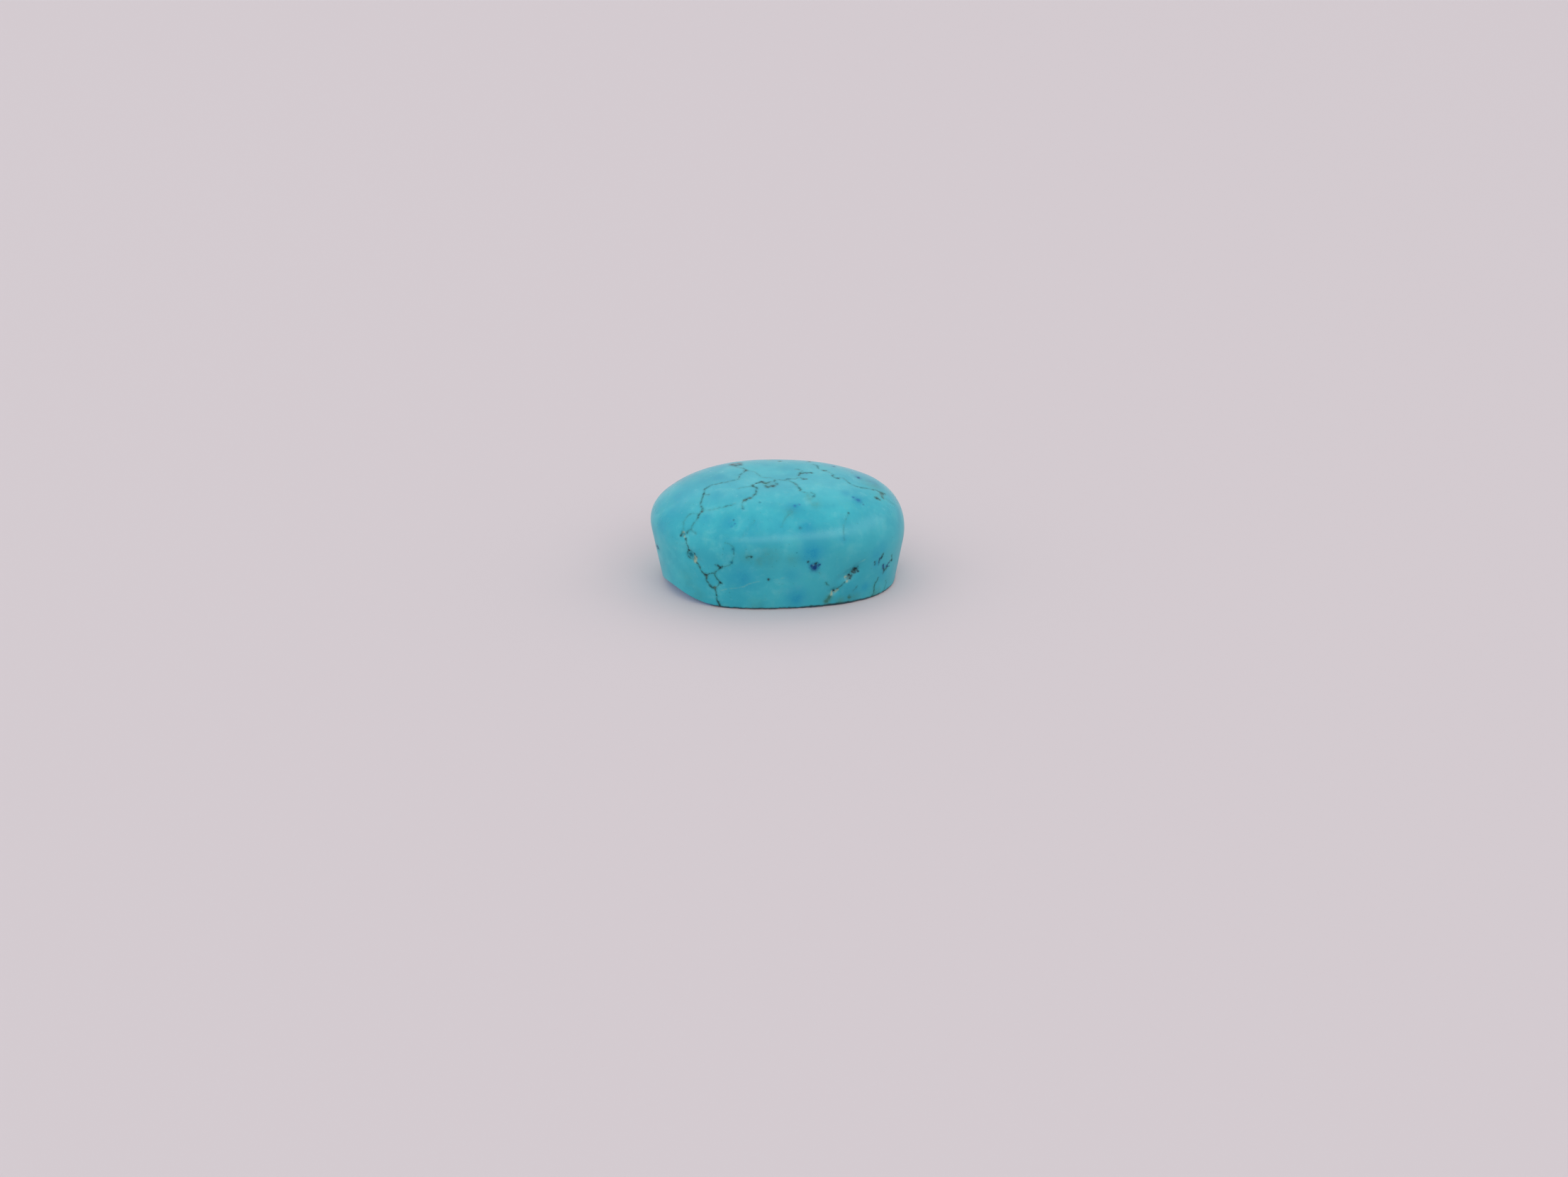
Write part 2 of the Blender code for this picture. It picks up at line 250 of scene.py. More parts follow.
seenVeins = {
    "leftUpper": (0.4, 0.6, [
        (1018, 681), (1011, 683), (1004, 684), (1001, 686), (997, 688), (995, 690), (994, 691), (994, 694),
        (993, 696), (992, 700), (990, 704), (989, 708), (988, 713), (989, 715)]),
    "leftMiddle": (0.5, 0.65, [
        (989, 715), (991, 717), (990, 720), (990, 723), (988, 724), (986, 726), (985, 728), (985, 731)]),
    "leftLower": (0.3, 0.55, [
        (985, 731), (983, 734), (979, 738), (976, 743), (975, 747), (970, 751), (969, 752)]),
    "leftUpperSpur": (0.4, 0.5, [(994, 698), (996, 698), (1001, 698)]),
    "leftPitSpur": (0.3, 0.4, [(975, 747), (979, 751), (982, 754)]),
    "pitDown": (0.5, 0.75, [(967, 760), (968, 764), (970, 770), (972, 776)]),
    "cavityLeft": (0.4, 0.6, [(972, 776), (970, 781), (972, 786), (976, 788)]),
    "cavityRight": (0.55, 0.7, [(972, 776), (976, 778), (980, 782), (980, 785), (981, 792), (986, 797)]),
    "leftDown": (0.5, 0.75, [(986, 797), (988, 804), (992, 809), (995, 812)]),
    "nodeRight": (0.4, 0.65, [(996, 812), (1000, 810), (1004, 809), (1008, 809), (1012, 805), (1016, 802)]),
    "starAcross": (0.45, 0.95, [(1010, 797), (1013, 798), (1016, 801), (1020, 800)]),
    "starFaint": (0.15, 0.4, [
        (1021, 800), (1028, 798), (1032, 796), (1033, 792), (1035, 785), (1035, 779), (1034, 772),
        (1029, 768), (1023, 766)]),
    "loopLeft": (0.45, 0.9, [(996, 812), (997, 815), (997, 820), (1001, 825), (1005, 829), (1009, 829)]),
    "loopRight": (0.35, 0.6, [(1006, 809), (1009, 812), (1012, 817), (1016, 822), (1019, 824)]),
    "loopClose": (0.2, 0.45, [(1016, 823), (1014, 825), (1010, 829)]),
    "loopDown": (0.45, 0.8, [(1009, 830), (1009, 832), (1010, 837), (1011, 844), (1013, 849), (1015, 854)]),
    "leftArc": (0.1, 0.45, [
        (985, 725), (983, 725), (976, 724), (972, 726), (970, 728), (968, 730), (964, 737), (964, 742),
        (964, 747)]),
    "leftAcross": (0.35, 0.35, [(993, 719), (998, 720), (1004, 719), (1015, 716)]),
    "topSweepStart": (0.4, 0.55, [
        (1044, 660), (1049, 661), (1052, 663), (1052, 665), (1048, 667), (1045, 670), (1043, 673)]),
    "topSweep": (0.35, 0.5, [
        (1043, 673), (1041, 676), (1039, 677), (1035, 678), (1029, 679), (1027, 680), (1023, 681),
        (1018, 681)]),
    "topRidge": (0.3, 0.4, [
        (1053, 664), (1059, 665), (1065, 666), (1070, 670), (1074, 673), (1081, 674), (1086, 674),
        (1090, 675), (1094, 677), (1100, 677), (1107, 678)]),
    "ridgeRight": (0.2, 0.6, [
        (1107, 678), (1109, 677), (1110, 676), (1112, 676), (1115, 676), (1122, 676), (1124, 675),
        (1127, 674), (1129, 674), (1132, 675)]),
    "middleBand": (0.5, 0.75, [
        (1062, 686), (1062, 684), (1063, 684), (1067, 682), (1071, 681), (1074, 680), (1078, 681),
        (1080, 682), (1084, 681), (1087, 680), (1091, 680), (1093, 677)]),
    "middleBandLow": (0.6, 0.75, [
        (1080, 685), (1083, 688), (1087, 686), (1090, 686), (1094, 685), (1096, 684), (1095, 682)]),
    "middleGreen": (0.1, 0.4, [(1040, 690), (1045, 688), (1053, 687), (1059, 686), (1062, 686)]),
    "middleHook": (0.5, 0.75, [(1062, 686), (1067, 688), (1068, 690), (1067, 694), (1065, 698)]),
    "middleHookSoft": (0.7, 0.5, [(1065, 698), (1063, 700), (1060, 702)]),
    "middleHookLow": (0.5, 0.8, [(1060, 702), (1057, 703), (1053, 705), (1049, 707)]),
    "middleHookEnd": (0.3, 0.45, [(1049, 707), (1047, 709), (1047, 713), (1048, 717)]),
    "middleTail": (0.4, 0.6, [
        (1020, 716), (1025, 714), (1029, 713), (1032, 713), (1035, 711), (1038, 711)]),
    "middleTailEnd": (0.3, 0.3, [(1003, 719), (1010, 718), (1016, 716), (1020, 716)]),
    "clusterTop": (0.6, 0.5, [(1122, 662), (1125, 662), (1128, 663)]),
    "clusterNode": (0.4, 0.6, [(1131, 664), (1130, 666), (1129, 668)]),
    "clusterAcross": (0.45, 0.85, [
        (1126, 668), (1129, 668), (1132, 668), (1135, 667), (1138, 667), (1142, 667), (1144, 667),
        (1146, 668)]),
    "clusterDown": (0.5, 0.75, [(1129, 668), (1128, 669), (1126, 671)]),
    "hookLeft": (0.2, 0.45, [(1113, 678), (1117, 680), (1120, 681)]),
    "centreRightHook": (0.5, 0.8, [
        (1120, 681), (1122, 683), (1124, 685), (1125, 687), (1127, 688), (1128, 690), (1129, 691),
        (1128, 692)]),
    "centreRightTail": (0.2, 0.5, [(1128, 692), (1130, 693), (1133, 694), (1135, 695), (1139, 696)]),
    "centreRightEnd": (0.15, 0.5, [(1144, 695), (1148, 697), (1149, 698), (1148, 701), (1146, 701)]),
    "diagonalTop": (0.45, 0.6, [(1147, 655), (1151, 656), (1153, 658), (1154, 660), (1156, 662)]),
    "diagonalUpper": (0.5, 0.7, [(1159, 663), (1162, 664), (1166, 664)]),
    "diagonalMiddle": (0.3, 0.35, [(1166, 664), (1166, 666), (1170, 666), (1172, 668), (1176, 670)]),
    "diagonalFork": (0.45, 0.6, [
        (1176, 670), (1174, 672), (1176, 673), (1180, 675), (1182, 676), (1185, 674)]),
    "diagonalLow": (0.45, 0.55, [
        (1185, 674), (1190, 675), (1196, 680), (1201, 684), (1207, 686), (1214, 688), (1221, 689),
        (1227, 690), (1236, 692), (1240, 694), (1244, 696)]),
    "diagonalEnd": (0.5, 0.6, [(1244, 696), (1249, 697), (1250, 698)]),
    "diagonalEndLow": (0.7, 0.6, [(1244, 697), (1244, 701), (1247, 704)]),
    "diagonalDark": (0.5, 0.9, [(1234, 701), (1237, 703), (1241, 705)]),
    "diagonalGreen": (0.1, 0.35, [(1250, 704), (1258, 710), (1262, 712)]),
    "rightDarkGreen": (0.1, 0.35, [
        (1197, 724), (1195, 729), (1192, 736), (1190, 742), (1190, 752), (1191, 763)]),
    "blueTail": (0.1, 0.35, [(1153, 807), (1155, 808), (1158, 810)]),
    "footLeftStreak": (0.15, 0.6, [(1165, 822), (1166, 825), (1169, 826)]),
    "footOlive": (0.1, 0.3, [(1173, 841), (1169, 847), (1163, 852)]),
    "footVein": (0.4, 0.5, [(1180, 831), (1185, 828), (1187, 827), (1189, 824), (1191, 822), (1192, 821)]),
    "endStreakA": (0.5, 0.9, [(1246, 781), (1245, 784), (1244, 786), (1243, 788)]),
    "endStreakBlue": (0.3, 0.6, [(1241, 788), (1240, 793), (1239, 797)]),
    "endStreakLeft": (0.4, 0.6, [(1234, 793), (1234, 797)]),
    "endStreakB": (0.45, 0.75, [
        (1258, 783), (1258, 789), (1258, 791), (1256, 791), (1254, 794), (1252, 797), (1251, 799),
        (1254, 799)]),
    "endStreakC": (0.45, 0.85, [
        (1246, 796), (1246, 798), (1245, 801), (1247, 804), (1247, 806), (1245, 809)]),
    "endOliveLong": (0.3, 0.75, [
        (1239, 815), (1238, 818), (1236, 821), (1234, 824), (1233, 828), (1233, 833), (1232, 838),
        (1229, 842)]),
    "endOliveShort": (0.2, 0.55, [(1250, 819), (1250, 823), (1248, 829), (1246, 833)]),
    "footStreakA": (0.2, 0.5, [(1199, 839), (1197, 842)]),
    "footStreakB": (0.2, 0.5, [(1209, 827), (1206, 831), (1204, 833)]),
    "frontSpeckTail": (0.2, 0.6, [(1052, 787), (1056, 786), (1061, 786)]),
    "domeOlive": (0.05, 0.4, [(1117, 722), (1112, 727), (1107, 734), (1102, 743)]),
    "domeSmearLeft": (0.05, 0.22, [(1064, 735), (1057, 744), (1050, 754), (1044, 763)]),
}

# Soft pale-gold hairlines across the front wall.
goldHairlines = {
    "goldLong": [(1015, 834), (1026, 831), (1041, 830), (1048, 828), (1057, 824), (1064, 822), (1071, 821)],
    "goldGreen": [(1213, 794), (1218, 791), (1224, 787)],
    "goldShort": [(1092, 818), (1099, 817), (1106, 816)],
}

palette = {
    "black": (6, 40, 48),
    "indigo": (0, 62, 118),
    "blue": (10, 108, 164),
    "rust": (70, 110, 104),
    "red": (60, 86, 84),
    "brown": (34, 62, 62),
    "sand": (158, 180, 154),
    "olive": (52, 118, 106),
    "teal": (12, 120, 140),
    "grey": (88, 136, 136),
    "cavity": (26, 118, 134),
}

# A mark is (radius in mm, place), listed by colour. The dark sheet lies over the light one.
seenMarks = {
    "dark": {
        "black": [
            (0.08, (961, 756)), (0.07, (972, 776)), (0.06, (980, 781)), (0.06, (1013, 798)),
            (0.07, (1016, 801)), (0.07, (1016, 822)), (0.07, (1013, 849)), (0.05, (1035, 734)),
            (0.09, (1182, 675)), (0.06, (1174, 671)), (0.07, (1197, 724)), (0.09, (1140, 793)),
            (0.11, (1151, 795)), (0.09, (1176, 833)), (0.07, (1197, 811)), (0.09, (1206, 802)),
            (0.07, (1209, 801)), (0.05, (1210, 799)), (0.08, (1210, 806)), (0.06, (1234, 793)),
            (0.08, (1244, 786)), (0.06, (1258, 790)), (0.08, (1247, 805)), (0.06, (1127, 671)),
            (0.06, (1122, 683)), (0.06, (994, 690)), (0.07, (993, 697)), (0.05, (986, 727)),
            (0.05, (1043, 673)), (0.06, (1062, 686)), (0.06, (1067, 682)), (0.06, (1053, 705)),
            (0.07, (1060, 786)), (0.09, (1231, 842)), (0.07, (1228, 843)),
        ],
        "brown": [
            (0.18, (1038, 657)), (0.14, (1044, 656)), (0.12, (1032, 656)), (0.05, (969, 752)),
            (0.12, (996, 811)), (0.09, (1015, 854)), (0.12, (1052, 664)), (0.12, (1075, 680)),
            (0.14, (1090, 686)), (0.11, (1134, 676)), (0.08, (1162, 664)), (0.08, (1200, 813)),
            (0.07, (1199, 816)), (0.11, (1202, 806)), (0.09, (1204, 808)), (0.07, (1144, 667)),
            (0.09, (1084, 818)), (0.12, (1237, 703)),
        ],
        "red": [
            (0.08, (990, 722)), (0.06, (968, 760)),
        ],
        "teal": [
            (0.10, (1032, 794)), (0.10, (1034, 775)), (0.10, (1112, 676)), (0.09, (1048, 718)),
            (0.07, (1072, 709)), (0.08, (1148, 700)), (0.10, (1129, 745)), (0.04, (1124, 780)),
        ],
        "blue": [
            (0.05, (1037, 739)), (0.05, (1032, 743)), (0.16, (1211, 706)), (0.08, (1121, 714)),
            (0.06, (1128, 712)), (0.10, (1204, 702)),
        ],
        "indigo": [
            (0.15, (1211, 674)), (0.05, (1218, 712)), (0.24, (1149, 801)), (0.14, (1145, 799)),
            (0.09, (1156, 797)), (0.07, (1241, 789)), (0.06, (1240, 794)), (0.06, (1254, 794)),
            (0.09, (1251, 799)), (0.10, (1246, 798)), (0.10, (1246, 801)), (0.07, (1138, 668)),
            (0.16, (928, 772)),
        ],
    },
    "light": {
        "olive": [
            (0.09, (963, 751)), (0.08, (962, 754)), (0.12, (1250, 802)), (0.14, (1170, 843)),
            (0.14, (1166, 848)), (0.12, (1198, 843)), (0.12, (1080, 682)),
        ],
        "sand": [
            (0.06, (965, 751)), (0.09, (982, 788)), (0.07, (966, 757)), (0.08, (981, 785)),
            (0.09, (981, 792)), (0.08, (1173, 835)), (0.07, (1179, 834)), (0.08, (1173, 838)),
            (0.08, (1195, 820)), (0.08, (1192, 814)), (0.06, (1182, 832)), (0.05, (1147, 798)),
        ],
        "brown": [
            (0.13, (1205, 804)),
        ],
        "indigo": [
            (0.18, (1149, 801)),
        ],
        "grey": [
            (0.08, (966, 754)), (0.08, (983, 786)), (0.18, (1196, 814)),
        ],
        "rust": [
            (0.07, (979, 789)), (0.10, (1009, 829)), (0.09, (997, 813)), (0.10, (1058, 703)),
            (0.10, (1050, 706)), (0.17, (1244, 696)), (0.10, (1245, 702)), (0.07, (1181, 831)),
            (0.11, (1100, 651)), (0.07, (1138, 676)), (0.10, (1083, 687)),
        ],
        "cavity": [
            (0.17, (975, 782)),
        ],
    },
}

# A haze is (radius in mm, strength, place): broad soft tints with no edge.
seenHazes = {
    "blue": [
        (0.55, 0.35, (948, 724)), (0.75, 0.35, (937, 746)), (0.50, 0.35, (996, 730)),
        (0.45, 0.50, (1028, 738)), (0.70, 0.30, (1012, 700)), (0.90, 0.65, (1046, 816)),
        (0.80, 0.80, (1124, 843)), (0.60, 0.40, (1119, 812)), (0.80, 0.95, (1146, 781)),
        (0.50, 0.70, (1149, 797)), (0.30, 0.50, (1191, 760)), (0.30, 0.50, (1193, 696)),
        # The hazes at (1062, 745) and (1100, 744), under the shoulder's light band, are a painted dark
        # reflection.
        (0.25, 0.80, (1123, 714)), (0.80, 0.28, (1062, 745)), (0.80, 0.28, (1100, 744)),
        (0.50, 0.30, (1209, 704)), (0.50, 0.60, (1138, 744)), (0.45, 0.45, (1211, 673)),
        (0.50, 0.50, (1118, 716)), (0.35, 0.60, (1236, 795)), (0.60, 0.40, (1245, 774)),
        (0.50, 0.40, (1247, 806)), (1.20, 0.35, (960, 700)), (0.45, 0.30, (1012, 674)),
        (0.80, 0.35, (1205, 835)), (0.35, 0.60, (1220, 828)), (0.50, 0.50, (1237, 782)),
    ],
    "olive": [
        (0.45, 0.55, (1072, 792)), (0.45, 0.45, (1055, 787)), (0.50, 0.35, (1118, 789)),
        (0.35, 0.60, (1150, 712)), (0.30, 0.90, (1171, 842)), (0.30, 0.90, (1167, 848)),
        (0.50, 0.40, (1067, 854)), (0.45, 0.40, (1240, 700)), (0.35, 0.60, (1237, 836)),
        (0.40, 0.35, (1085, 683)), (0.28, 0.55, (1140, 699)), (0.30, 0.45, (1142, 704)),
        (0.50, 0.50, (1200, 843)), (0.35, 0.90, (1185, 848)), (0.30, 0.80, (1207, 841)),
        (0.40, 0.45, (1114, 722)), (0.80, 0.35, (1085, 785)), (0.70, 0.35, (985, 840)),
        (0.80, 0.30, (970, 818)), (0.40, 0.80, (1234, 838)),
    ],
    "rust": [
        (0.45, 0.85, (1035, 655)), (0.40, 0.80, (1042, 654)), (0.30, 0.50, (1040, 659)),
        (0.22, 0.60, (1243, 698)), (0.14, 0.60, (1063, 699)), (0.13, 0.60, (1050, 706)),
        (0.16, 0.60, (981, 789)), (0.14, 0.50, (1009, 829)), (0.20, 0.40, (1099, 651)),
        (0.18, 0.40, (1089, 686)), (0.14, 0.40, (966, 757)), (0.16, 0.35, (1180, 831)),
        (0.22, 0.70, (1206, 803)),
    ],
}

# A pit is (radius, depth, place) in mm and frame pixels.
seenPits = {
    "upperLeft": (0.17, 0.09, (964, 755)),
    "leftCavity": (0.22, 0.12, (975, 783)),
    "leftSand": (0.13, 0.05, (981, 789)),
    "footPit": (0.22, 0.12, (1176, 834)),
    "greyPit": (0.24, 0.10, (1195, 815)),
    "brownPit": (0.20, 0.09, (1205, 803)),
    "nodePit": (0.10, 0.04, (996, 812)),
    "diagonalPit": (0.12, 0.03, (1244, 697)),
}


def pixelRay(pixel):
    # Start and direction of the ray through a place in the 2212 by 1661 frame, in millimetres.
    right, up, back = cameraAxes()
    perMillimetre = view["frameWidth"] / view["millimetresAcross"]
    across = (pixel[0] - view["frameWidth"] / 2) / perMillimetre
    upward = (view["frameHeight"] / 2 - pixel[1]) / perMillimetre
    direction = right * across + up * upward - back * view["distance"]
    return np.array(view["aim"]) + back * view["distance"], direction / np.linalg.norm(direction)


def searchFaces(points):
    # A search tree over the grid's four-sided faces.
    number = np.arange(rowCount * columnCount).reshape(rowCount, columnCount)
    beside = np.roll(number, -1, axis=1)
    faces = np.stack([number[:-1], beside[:-1], beside[1:], number[1:]], axis=-1).reshape(-1, 4)
    return BVHTree.FromPolygons(points.reshape(-1, 3).tolist(), faces.tolist())


def castPlaces(faces, pixels):
    # Where the rays through these places first meet the stone; a ray that misses is left out.
    hits = [faces.ray_cast(*pixelRay(pixel))[0] for pixel in pixels]
    return np.array([hit for hit in hits if hit is not None])


# Relief: the raggedness of hollows and pits, the chips of the base's rim, and slow waves of the surface.

relief = {
    "hollowNoise": dict(share=0.35, size=0.35, seed=21),
    "pitNoise": dict(share=0.30, size=0.14, seed=33),
    "rimOval": dict(halfLength=8.0, halfWidth=5.5),
    "chipDepth": 0.10,
    "chipHeight": 0.12,
    "chipFrom": 0.9,
    "chips": [dict(above=0.15, size=0.42, seed=41), dict(above=0.30, size=0.16, seed=43)],
    "waves": [dict(height=0.020, size=2.6, seed=7), dict(height=0.008, size=0.9, seed=9)],
    "wavesFrom": (0.15, 0.60),
}


def raggedness(points, share, size, seed):
    # One, give or take that share by lattice noise.
    return 1 + share * latticeNoise(points, size, seed)


def rimReach(points):
    # How far out each point lies, as a share of an oval about as large as the base.
    oval = relief["rimOval"]
    return np.hypot(points[..., 0] / oval["halfLength"], points[..., 1] / oval["halfWidth"])


def pressHollows(points):
    # Presses each hollow inwards by its depth times exp(-(along/half length)^2 - (across/half width)^2).
    for hollow in hollows.values():
        angle = math.radians(hollow["angle"])
        lean = math.radians(hollow["lean"])
        outward = np.array([math.cos(angle), math.sin(angle), 0])
        sideways = np.array([-math.sin(angle), math.cos(angle), 0])
        across = points @ sideways
        up = points[..., 2] - hollow["height"]
        along = up * math.cos(lean) + across * math.sin(lean)
        beside = across * math.cos(lean) - up * math.sin(lean)
        dish = bell(along, hollow["length"] / 2) * bell(beside, hollow["width"] / 2)
        ragged = raggedness(points, **relief["hollowNoise"])
        depth = hollow["depth"] * dish * ragged * (points @ outward > 0)
        points = points - depth[..., None] * outward
    return points


def pressPits(points):
    # Presses small ragged pits along the surface normal: depth times exp(-(distance / radius)^4).
    faces = searchFaces(points)
    for radius, depth, pixel in seenPits.values():
        centre = castPlaces(faces, [pixel])[0]
        distance = np.linalg.norm(points - centre, axis=-1) * raggedness(points, **relief["pitNoise"])
        points = points - normals * (depth * np.exp(-(distance / radius) ** 4))[..., None]
    return points


def chipEdge(points):
    # Nibbles the base's rim: points near it are drawn in by the chip depth times a bell of their height
    # times how far the noise stands above its threshold.
    height = points[..., 2]
    rim = bell(height, relief["chipHeight"]) * (rimReach(points) > relief["chipFrom"])
    chip = 0 * height
    for layer in relief["chips"]:
        chip += np.clip(latticeNoise(points, layer["size"], layer["seed"]) - layer["above"], 0, 1)
    outward = np.stack([points[..., 0], points[..., 1], 0 * height], axis=-1)
    outward = outward / np.maximum(np.linalg.norm(outward, axis=-1, keepdims=True), tiny)
    return points - outward * (relief["chipDepth"] * rim * chip)[..., None]


def addWaves(points):
    # Lifts the surface along its normal by a sum of lattice noises, fading out towards the base.
    wave = 0 * grid[..., 2]
    for layer in relief["waves"]:
        wave += layer["height"] * latticeNoise(grid, layer["size"], layer["seed"])
    aboveBase = smooth(*relief["wavesFrom"], grid[..., 2])
    return points + normals * (wave * aboveBase)[..., None]


surface = pressHollows(grid + centreShift) - centreShift
surface = addWaves(chipEdge(pressPits(surface)))
stoneFaces = searchFaces(surface)
print("relief done")

# Veins on the sides that the camera doesn't see: (tone, strength, wander in mm, points), where a point is
# a direction seen from above in degrees and a share of the way from the lower edge up to the crown.
hiddenVeins = {
    "backClimb": (0.45, 0.75, 0.16, [(62, 0.02), (66, 0.22), (74, 0.36), (70, 0.50), (84, 0.62)]),
    "backBranch": (0.45, 0.55, 0.14, [(74, 0.36), (90, 0.33), (104, 0.24), (118, 0.26)]),
    "backTwig": (0.6, 0.5, 0.12, [(104, 0.24), (108, 0.12), (106, 0.03)]),
    "backHigh": (0.4, 0.6, 0.16, [(118, 0.26), (128, 0.38), (126, 0.50), (112, 0.60)]),
    "backFaint": (0.15, 0.4, 0.16, [(128, 0.38), (142, 0.40), (156, 0.46)]),
    "backLow": (0.5, 0.6, 0.14, [(128, 0.38), (136, 0.22), (140, 0.04)]),
    "backLoop": (0.5, 0.5, 0.12, [(66, 0.22), (56, 0.30), (52, 0.42), (58, 0.50), (70, 0.50)]),
    "backRight": (0.35, 0.5, 0.14, [(52, 0.42), (40, 0.47), (30, 0.56)]),
    "leftEndClimb": (0.5, 0.65, 0.14, [(168, 0.03), (172, 0.18), (166, 0.32), (156, 0.46), (160, 0.56)]),
    "leftEndSide": (0.2, 0.45, 0.12, [(172, 0.18), (184, 0.26), (192, 0.24)]),
    "rightEndClimb": (0.55, 0.65, 0.14, [(6, 0.03), (10, 0.17), (18, 0.28), (14, 0.42), (22, 0.52)]),
    "rightEndSide": (0.25, 0.45, 0.12, [(18, 0.28), (28, 0.24), (38, 0.10), (40, 0.02)]),
    "rightEndTwig": (0.4, 0.4, 0.10, [(10, 0.17), (0, 0.24), (352, 0.23)]),
}

# Veins on the underside: the same, with points in millimetres across and deep.
baseVeins = {
    "baseLong": (0.45, 0.7, 0.18, [
        (-6.9, 1.0), (-4.4, 0.2), (-1.8, 0.9), (0.6, -0.3), (3.2, 0.5), (5.2, 2.6)]),
    "baseFront": (0.4, 0.6, 0.16, [(-4.4, -4.1), (-3.4, -2.4), (-4.3, -1.0), (-4.4, 0.2)]),
    "baseBack": (0.5, 0.55, 0.16, [(-1.8, 0.9), (-1.2, 2.6), (-2.4, 4.0), (-2.0, 5.2)]),
    "baseRight": (0.45, 0.6, 0.16, [(0.6, -0.3), (1.8, -1.8), (1.4, -3.4), (2.6, -5.2)]),
    "baseTwig": (0.6, 0.5, 0.12, [(1.8, -1.8), (3.8, -1.9), (6.0, -2.8)]),
    "baseEnd": (0.25, 0.45, 0.14, [(3.2, 0.5), (5.0, -0.4), (7.6, 0.2)]),
}

# How veins are laid on the mesh, in millimetres.
laying = {
    "halvings": 4,  # how often a made-up route is halved to make it wander
    "sheets": 6,
    "apart": 1.0,  # least gap between two routes of one sheet
    "reach": 0.5,  # how far beside a route its numbers go
    "fadeBeside": (0.32, 0.46),
    "fadePastEnd": (0.02, 0.16),
    "largestJump": (1.2, 0.08),  # share of the step between two points, and what is added to it
}

# Spots, specks and hazes strewn over the back and the ends: numbers of them, radii in mm, directions in
# degrees seen from above, and heights as shares of the way up. Knots are dark and fills light, on a vein.
scatter = {
    "seed": 4522,
    "directions": (-8, 184),
    "heights": (0.02, 0.7),
    "darkSpots": 14,
    "lightSpots": 7,
    "spotRadius": (0.05, 0.16),
    "lightSize": 0.8,
    "knotsOnVein": 3,
    "knotRadius": (0.05, 0.11),
    "fillRadius": (0.06, 0.11),
    "darkSpecks": 60,
    "speckRadius": (0.02, 0.065),
    "hazes": 34,
    "hazeStrength": (0.3, 0.8),
    "hazeRadius": (0.4, 1.1),
}


def profilePlaces(points, places):
    # Points on the grid for (direction in degrees, share of the way up), blended between its columns and
    # its rows.
    firstRow = stone["baseRows"] + stone["edgeRows"] - 1
    angle, share = np.array(places, dtype=float).T
    column = (angle / 360 * columnCount) % columnCount
    row = firstRow + share * (rowCount - 1 - firstRow)
    lowColumn = column.astype(int)
    lowRow = np.minimum(row.astype(int), rowCount - 2)
    u = (column - lowColumn)[:, None]
    v = (row - lowRow)[:, None]
    nextColumn = (lowColumn + 1) % columnCount
    low = points[lowRow, lowColumn] * (1 - u) + points[lowRow, nextColumn] * u
    high = points[lowRow + 1, lowColumn] * (1 - u) + points[lowRow + 1, nextColumn] * u
    return low * (1 - v) + high * v


def wander(path, amount):
    # Halves every stretch a few times, each new middle moved by a random step that scales with the
    # stretch.
    for _ in range(laying["halvings"]):
        middle = (path[1:] + path[:-1]) / 2
        length = np.linalg.norm(path[1:] - path[:-1], axis=1, keepdims=True)
        middle = middle + random.normal(size=middle.shape) * length * amount
        path = np.insert(path, np.arange(1, len(path)), middle, axis=0)
    return path


def routeField(points, facing, route):
    # Distance and signed distance to a route of straight stretches, and the distance past its nearer end.
    # The sign is the side of the nearest stretch, or of the mean of both directions where a corner is
    # nearest, seen along the surface normal.
    near = np.full(len(points), np.inf)
    signed = np.zeros(len(points))
    past = np.zeros(len(points))
    last = len(route) - 2
    heading = np.diff(route, axis=0)
    heading = heading / np.maximum(np.linalg.norm(heading, axis=1, keepdims=True), tiny)
    corner = np.vstack([heading[:1], heading[:-1] + heading[1:], heading[-1:]])
    for index, (start, end) in enumerate(zip(route[:-1], route[1:])):
        stretch = end - start
        span = max(float(stretch @ stretch), tiny)
        offset = points - start
        share = offset @ stretch / span
        offset = offset - np.clip(share, 0, 1)[:, None] * stretch
        distance = np.linalg.norm(offset, axis=1)
        along = np.where((share > 1)[:, None], corner[index + 1], heading[index])
        along = np.where((share < 0)[:, None], corner[index], along)
        side = np.sign(np.einsum("ij,ij->i", np.cross(along, facing), offset))
        over = np.zeros(len(points))
        if index == 0:
            over = np.maximum(over, -share)
        if index == last:
            over = np.maximum(over, share - 1)
        closer = distance < near
        near = np.where(closer, distance, near)
        signed = np.where(closer, distance * side, signed)
        past = np.where(closer, over * math.sqrt(span), past)
    return near, signed, past


def hideBreaks(points, sheet):
    # Takes the strength away wherever the signed distance jumps by more than the step to the next point
    # allows, so that no line shows where the side changes off the vein.
    share, rest = laying["largestJump"]
    place = points[1:-1].reshape(rowCount, columnCount, 3)
    signed = sheet[1:-1, 0].reshape(rowCount, columnCount)
    broken = np.zeros(signed.shape, dtype=bool)
    for shift in ((1, 0), (0, 1), (1, 1), (1, -1)):
        step = np.linalg.norm(np.roll(place, shift, axis=(0, 1)) - place, axis=2)
        jump = np.abs(np.roll(signed, shift, axis=(0, 1)) - signed) > step * share + rest
        jump[:shift[0]] = False
        broken |= jump | np.roll(jump, (-shift[0], -shift[1]), axis=(0, 1))
    sheet[1:-1, 1][broken.ravel()] = 0.0


